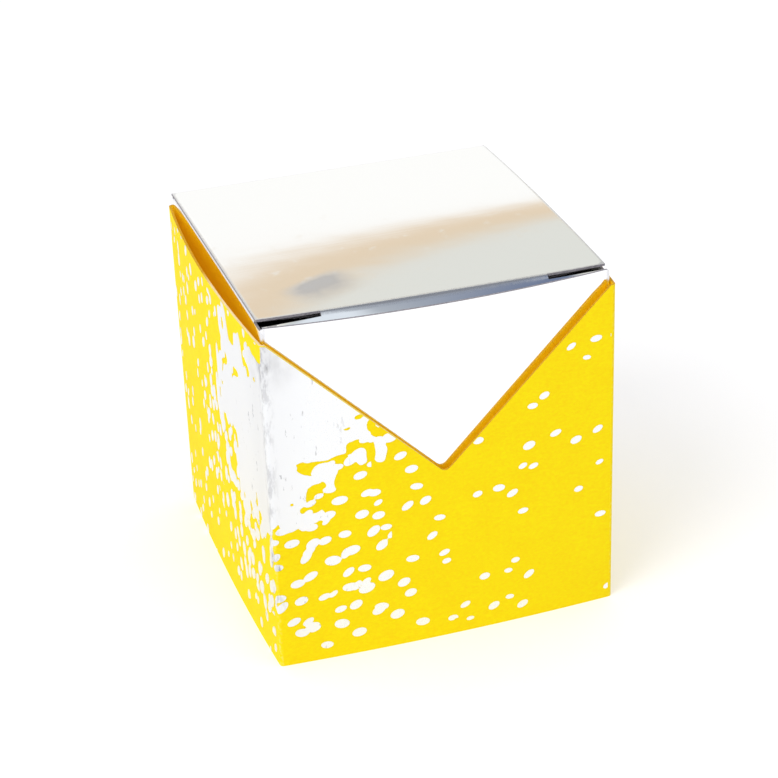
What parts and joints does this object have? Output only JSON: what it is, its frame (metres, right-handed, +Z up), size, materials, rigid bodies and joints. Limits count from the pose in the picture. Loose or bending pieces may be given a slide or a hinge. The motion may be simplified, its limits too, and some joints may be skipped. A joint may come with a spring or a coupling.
{
  "type": "favor box",
  "caption": "Small cube gift box: a mirror foil tuck-top carton that slides up out of a yellow card sleeve with V notches and silver speckles.",
  "frame": {"origin": "middle of the base, on the surface that the box stands on", "axes": "+Z up, the front with its tuck closure faces -Y, +X to the right as seen from the front"},
  "size_m": [0.053, 0.052, 0.0533],
  "materials": {
    "dyed_card": "matt card dyed yellow right through",
    "stamped_foil": "silver foil speckles hot-stamped on the card, rubbed at the fold",
    "mirror_card": "card laminated with mirror silver film outside, white board inside"
  },
  "bodies": {
    "sleeve": {"sleeve": "dyed_card", "foil_print": "stamped_foil"},
    "carton": {"carton": "mirror_card"},
    "lid": {"lid": "mirror_card"}
  },
  "joints": [
    {"name": "carton_slide", "type": "slide", "parent": "sleeve", "child": "carton", "axis": [0, 0, 1], "range_m": [0, 0.045]},
    {"name": "lid_hinge", "type": "hinge", "parent": "carton", "child": "lid", "pos_m": [0, 0.025, 0.0528], "axis": [-1, 0, 0], "range_deg": [0, 180]}
  ]
}
